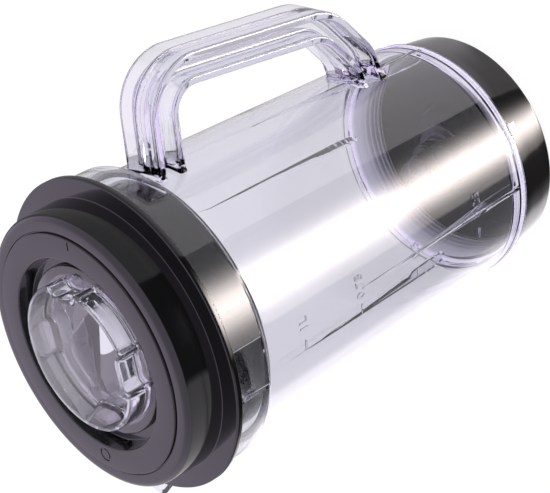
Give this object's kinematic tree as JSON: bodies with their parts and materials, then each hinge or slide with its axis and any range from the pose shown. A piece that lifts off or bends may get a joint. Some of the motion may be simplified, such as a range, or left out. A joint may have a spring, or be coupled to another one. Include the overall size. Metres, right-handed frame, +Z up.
{
  "type": "blender jar",
  "caption": "Clear plastic blender jar with spout and D-handle, black twist lid with clear filler cup, and a black screw-on base ring with a spinning blade unit.",
  "frame": {"origin": "on the vessel's axis, in the plane that the base collar stands on", "axes": "+Z up along the vessel's axis, +X towards the handle, -X towards the spout"},
  "size_m": [0.1645, 0.123, 0.2074],
  "materials": {
    "clear_plastic": "clear, polished",
    "cap_plastic": "clear, polished",
    "lid_plastic": "satin gloss",
    "base_plastic": "gloss",
    "carrier_plastic": "satin",
    "silicone": "soft matte",
    "black_rubber": "matte",
    "blade_steel": "ground",
    "shaft_steel": "turned",
    "sintered_bronze": "sintered",
    "coupling_plastic": "satin"
  },
  "bodies": {
    "vessel": {"jar": "clear_plastic", "base_collar": "base_plastic", "base_seal": "silicone", "blade_carrier": "carrier_plastic", "bearing_housing": "shaft_steel", "housing_gasket": "black_rubber", "housing_nut": "shaft_steel", "upper_bush": "sintered_bronze", "lower_bush": "sintered_bronze", "shaft_seal": "black_rubber"},
    "lid": {"lid": "lid_plastic", "lid_seal": "silicone", "filler_cap": "cap_plastic"},
    "blades": {"blade_shaft": "shaft_steel", "lower_blade": "blade_steel", "blade_spacer": "shaft_steel", "upper_blade": "blade_steel", "blade_washer": "shaft_steel", "blade_nut": "shaft_steel", "thrust_washer": "shaft_steel", "circlip": "shaft_steel", "drive_coupling": "coupling_plastic", "coupling_screw": "shaft_steel"}
  },
  "joints": [
    {"name": "lid_turn", "type": "hinge", "parent": "vessel", "child": "lid", "pos_m": [0, 0, 0.186], "axis": [0, 0, 1], "range_deg": [0, 180]},
    {"name": "blade_spin", "type": "hinge", "parent": "vessel", "child": "blades", "pos_m": [0, 0, 0.02], "axis": [0, 0, 1], "continuous": true}
  ]
}
